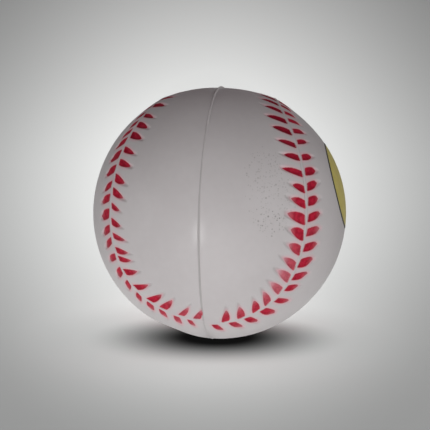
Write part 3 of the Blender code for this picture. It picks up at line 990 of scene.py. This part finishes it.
def skin_shade(tree, place):
    """Self-skinned foam: satin, with a fine orange peel and open pinholes.

    It is smoother beside the parting line, by a smooth step of the distance from the plane x = 0.
    """
    holes = open_cells(tree, place)
    colour, body = sprayed_foam(tree, place, holes)
    peel = fine_grain(tree, place, PEEL_SIZE, 0.45)
    pits = tree.bump(1.0 - holes, 0.1 * MM, 0.6, peel)
    aside = abs(tree.node("ShaderNodeSeparateXYZ", None, {"Vector": place}, output="X"))
    gloss = LINE_GLOSS * (1.0 - aside.step(*LINE_REACH))
    rough = 0.40 + 0.12 * tree.noise(place, 3.0 * MM, 3.0) + 0.04 * body - gloss
    return {"Base Color": colour, "Roughness": rough, "Normal": pits, "Specular IOR Level": 0.5}


def paint_shade(tree, place):
    """Sprayed paint: the sprayed foam's colour with a finer grain."""
    colour, _ = sprayed_foam(tree, place, 0.0)
    grain = fine_grain(tree, place, 0.35 * MM, 0.5)
    rough = 0.46 + 0.16 * tree.noise(place, 0.8 * MM)
    return {"Base Color": colour, "Roughness": rough, "Normal": grain, "Specular IOR Level": 0.15}


def yellow_shade(tree, place):
    """Printed yellow ink: even, a little thin in places where the foam's skin shows through."""
    worn = tree.noise(place, 2.4 * MM, 5.0)
    colour = tree.blend(worn.step(0.35, 0.75), YELLOW_THIN, YELLOW_FULL)
    colour = tree.blend(0.5 * tree.noise(place, 0.4 * MM).step(0.66, 0.8), colour, FOAM_LIGHT)
    peel = fine_grain(tree, place, PEEL_SIZE, 0.5)
    return {"Base Color": colour, "Roughness": 0.38 + 0.14 * worn, "Normal": peel}


def dark_shade(tree, place):
    """Printed dark ink: near black, broken a little along its grain."""
    worn = tree.noise(place, 0.7 * MM, 4.0)
    colour = tree.blend(worn.step(0.55, 0.8), INK_BLACK, INK_WORN)
    peel = fine_grain(tree, place, PEEL_SIZE, 0.5)
    return {"Base Color": colour, "Roughness": 0.40 + 0.15 * worn, "Normal": peel}


def core_shade(tree, place):
    """Cellular foam: small cells with pale walls, and hollows darkened by painted shade."""
    cells = {"Vector": place, "Scale": 1.0 / CELL_SIZE}
    wall = tree.node("ShaderNodeTexVoronoi", {"feature": "DISTANCE_TO_EDGE"}, cells)
    pale = tree.blend(tree.noise(place, 9.0 * MM, 3.0), CELL_WALL, CELL_WALL_PALE)
    colour = tree.blend(wall.step(0.02, 0.3), pale, CELL_HOLLOW_SHADE)
    return {"Base Color": colour, "Roughness": 0.95, "Normal": tree.bump(1.0 - wall, 0.3 * MM, 0.7)}


def dress_ball():
    """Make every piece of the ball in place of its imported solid."""
    skin = new_finish("foam_skin", skin_shade)
    paint = new_finish("stitch_paint", paint_shade)
    left, right = SkinHalf(LEFT), SkinHalf(RIGHT)
    skins = foam_skin(left, "foam_skin_left", skin), foam_skin(right, "foam_skin_right", skin)
    bead = parting_bead((left, right), skin)
    core = cellular_core(new_finish("foam_core_cells", core_shade))
    disc = printed_disc(new_finish("print_yellow_ink", yellow_shade))
    ring = printed_ring(new_finish("print_dark_ink", dark_shade))
    dabs = stitch_paint(left, "stitch_paint_left", paint), stitch_paint(right, "stitch_paint_right", paint)
    stands_for = (
        (skins[0], "skin_left", "foam_skin"),
        (skins[1], "skin_right", "foam_skin"),
        (bead, "parting_flash", "foam_flash"),
        (core, "foam_core", "foam_core"),
        (disc, "print_disc", "print_yellow"),
        (ring, "print_outline", "print_dark"),
    )
    for piece, node, slot in stands_for:
        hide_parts(node)
    return [*skins, bead, core, disc, ring, *dabs]


# Studio floor: flat out to a radius, then a quarter arc up to a wall
FLOOR_FLAT = 0.55
FLOOR_CURVE = 0.35
FLOOR_WALL = 0.6
FLOOR_RINGS = 12
CURVE_STEPS = 24
FLOOR_STEPS = 128

# Painted pool of light on the paper: a cone about an axis from an apex in front of the ball, with the turns
# of its frame, the squash of its section, the slopes where its painted light falls off and the share of
# that step that stays light
PAPER_LIGHT = (0.95, 0.95, 0.945, 1.0)
PAPER_DARK = (0.334, 0.334, 0.334, 1.0)
PAPER_APEX = (0.0281, -0.1914, 0.0826)
PAPER_TURNS = (math.radians(-8.02), math.radians(2.34), math.radians(8.54))
PAPER_SQUASH = (1.0, 0.0, 0.711)
PAPER_CONE = (-0.0847, 0.411)
PAPER_START = 0.36
PAPER_NEAREST = 50.0 * MM

# Shades round the ball's foot: middle, squash, where the step starts and where it ends
CONTACT_DARK = (0.004, 0.004, 0.004, 1.0)
CONTACT_TURN = math.radians(14.6)
DEEP_SHADE = ((0.6 * MM, -4.4 * MM, 0.0), (0.718, 1.0, 0.0), 5.5 * MM, 24.4 * MM)
WIDE_SHADE = ((-1.5 * MM, 0.2 * MM, 0.0), (0.85, 1.0, 0.0), 4.0 * MM, 41.2 * MM)
WIDE_SHARE = 0.343


def foot_step(tree, place, middle, squash, near, far):
    """Smooth step of the distance from a middle near the ball's foot, in a frame turned about Z."""
    frame_turn = {"Vector": place, "Location": middle, "Rotation": (0.0, 0.0, CONTACT_TURN)}
    from_foot = tree.node("ShaderNodeMapping", {"vector_type": "TEXTURE"}, frame_turn)
    return tree.squashed(from_foot, squash).step(near, far)


def paper_shade(tree, place):
    """Matt pale paper with a painted pool of light, brightest behind the ball, and painted contact shade
    where the ball stands.

    It darkens as a smooth step of the distance from the cone's axis over the depth past its apex, and is
    dark before the apex. The contact shade is a deep smooth step times a share of a wide one.
    """
    frame_turn = {"Vector": place, "Location": PAPER_APEX, "Rotation": PAPER_TURNS}
    turned = tree.node("ShaderNodeMapping", {"vector_type": "TEXTURE"}, frame_turn)
    depth = tree.node("ShaderNodeSeparateXYZ", None, {"Vector": turned}, output="Y")
    aside = tree.squashed(turned, PAPER_SQUASH) + tree.math("MAXIMUM", -1.0 * depth, 0.0)
    cone = tree.math("DIVIDE", aside, tree.math("MAXIMUM", depth, PAPER_NEAREST))
    shade = 1.0 / (1.0 - PAPER_START) * (cone.step(*PAPER_CONE) - PAPER_START)
    tone = tree.blend(shade, PAPER_LIGHT, PAPER_DARK)
    wide = 1.0 - WIDE_SHARE * (1.0 - foot_step(tree, place, *WIDE_SHADE))
    tone = tree.blend(wide * foot_step(tree, place, *DEEP_SHADE), CONTACT_DARK, tone)
    return {"Base Color": tone, "Roughness": 0.9, "Specular IOR Level": 0.0}


def stage_bowl():
    """Pale floor that curves up all round: a profile of floor, quarter arc and wall, turned about Z."""
    bend = np.linspace(0.0, math.pi / 2.0, CURVE_STEPS + 1)
    flat = np.arange(FLOOR_RINGS) / FLOOR_RINGS * FLOOR_FLAT
    edge = FLOOR_FLAT + FLOOR_CURVE
    radius = np.concatenate([flat, FLOOR_FLAT + FLOOR_CURVE * np.sin(bend), [edge]])
    rise = FLOOR_CURVE * (1.0 - np.cos(bend))
    height = np.concatenate([np.zeros(FLOOR_RINGS), rise, [FLOOR_CURVE + FLOOR_WALL]])
    turn = np.linspace(0.0, 2.0 * math.pi, FLOOR_STEPS + 1)
    across, back = np.outer(radius, np.cos(turn)), np.outer(radius, np.sin(turn))
    points = np.stack([across, back, np.outer(height, np.ones_like(turn))], axis=-1)
    index = np.arange(across.size).reshape(across.shape)
    mesh = bpy.data.meshes.new("studio_floor")
    mesh.from_pydata(points.reshape(-1, 3).tolist(), [], grid_faces(index)[:, ::-1].tolist())
    mesh.shade_smooth()
    mesh.materials.append(new_finish("studio_paper", paper_shade))
    floor = bpy.data.objects.new("studio_floor", mesh)
    bpy.context.scene.collection.objects.link(floor)
    floor.visible_shadow = False
    floor.visible_diffuse = False
    return floor


def soft_light(name, place, size, power, tint, aim, lit):
    """Round area light that shines from a place to an aim, on some objects that shade one another."""
    lamp = bpy.data.lights.new(name, "AREA")
    lamp.shape = "DISK"
    lamp.size = size
    lamp.energy = power
    lamp.color = tint
    item = bpy.data.objects.new(name, lamp)
    bpy.context.scene.collection.objects.link(item)
    item.location = place
    item.rotation_euler = (Vector(aim) - Vector(place)).to_track_quat("-Z", "Y").to_euler()
    item.visible_camera = False
    group = bpy.data.collections.new(f"{name}_lit")
    for piece in lit:
        group.objects.link(piece)
    item.light_linking.receiver_collection = group
    item.light_linking.blocker_collection = group
    return item


# Lamps round the ball, LAMP_DISTANCE from its centre: azimuth from the front towards the right and
# elevation, in degrees, then size, power and tint. Only the glint shows as a highlight on the ball
SURROUND_TINT = (1.0, 0.6, 0.68, 1.0)
SURROUND_STRENGTH = 0.04
LAMP_TINT = (0.99, 1.0, 0.986)
TOP_TINT = (1.0, 0.74, 0.82)
SKY_TINT = (0.971, 1.0, 0.989)
LAMP_DISTANCE = 0.45
BALL_LAMPS = {
    "front": (25.4, -35.7, 0.3, 0.635, LAMP_TINT),
    "low": (-24.4, -77.9, 0.3, 0.370, LAMP_TINT),
    "under": (-173.4, -54.4, 0.3, 0.921, LAMP_TINT),
    "left": (-60.4, -4.3, 0.3, 0.430, LAMP_TINT),
    "left_front": (-52.8, 2.3, 0.3, 0.283, LAMP_TINT),
    "right": (55.1, 20.1, 0.3, 0.713, LAMP_TINT),
    "top": (175.4, 36.3, 0.3, 0.186, TOP_TINT),
    "back": (-172.0, -7.1, 0.16, 0.707, LAMP_TINT),
    "glint": (-8.8, -13.0, 0.14, 0.329, LAMP_TINT),
}
SKY_LAMP = ("sky", (0.0, 0.0, 0.7), 4.0, 39.6, SKY_TINT)


def lamp_place(azimuth, elevation):
    """Point on the sphere of lamps about the ball's centre, from two angles in degrees."""
    azimuth, elevation = math.radians(azimuth), math.radians(elevation)
    level = math.cos(elevation)
    out = (level * math.sin(azimuth), -level * math.cos(azimuth), math.sin(elevation))
    return Vector(CENTRE) + LAMP_DISTANCE * Vector(out)


def light_scene(pieces, floor):
    """Soft studio light: lamps round the ball, of which one glints on it, and a wide one over the floor."""
    aim = tuple(CENTRE)
    for name, (azimuth, elevation, size, power, tint) in BALL_LAMPS.items():
        lamp = soft_light(name, lamp_place(azimuth, elevation), size, power, tint, aim, pieces)
        lamp.visible_glossy = name == "glint"
    soft_light(*SKY_LAMP, (0.0, 0.0, 0.0), [floor])
    world = bpy.data.worlds.new("studio_surround")
    world.use_nodes = True
    background = world.node_tree.nodes["Background"]
    background.inputs["Color"].default_value = SURROUND_TINT
    background.inputs["Strength"].default_value = SURROUND_STRENGTH
    bpy.context.scene.world = world
    bpy.context.scene.view_settings.view_transform = "Standard"


# Camera: the photograph is square, FRAME_SIDE pixels on a side, and the ball's centre lies at BALL_PIXEL
FRAME_SIDE = 430.0
BALL_PIXEL = (219.55, 212.12)
FOCAL_PIXELS = 819.5
CAMERA_AZIMUTH = math.radians(8.04)
CAMERA_ELEVATION = math.radians(7.0)
CAMERA_ROLL = math.radians(1.05)
CAMERA_DISTANCE = 206.8 * MM
CLIP_START = 10.0 * MM
SENSOR = 36.0


def aim_camera():
    """Camera on a sphere about the ball's centre, shifted so that the centre lies at its pixel."""
    lens = bpy.data.cameras.new("camera")
    lens.sensor_width = SENSOR
    lens.lens = FOCAL_PIXELS / FRAME_SIDE * SENSOR
    lens.shift_x = (FRAME_SIDE / 2.0 - BALL_PIXEL[0]) / FRAME_SIDE
    lens.shift_y = (BALL_PIXEL[1] - FRAME_SIDE / 2.0) / FRAME_SIDE
    lens.clip_start = CLIP_START
    camera = bpy.data.objects.new("camera", lens)
    bpy.context.scene.collection.objects.link(camera)
    upright = Matrix.Rotation(math.pi / 2.0 - CAMERA_ELEVATION, 4, "X")
    turn = Matrix.Rotation(CAMERA_AZIMUTH, 4, "Z") @ upright @ Matrix.Rotation(CAMERA_ROLL, 4, "Z")
    back = turn @ Vector((0.0, 0.0, CAMERA_DISTANCE))
    camera.matrix_world = Matrix.Translation(Vector(CENTRE) + back) @ turn
    bpy.context.scene.camera = camera


aim_camera()
floor = stage_bowl()
light_scene(dress_ball(), floor)
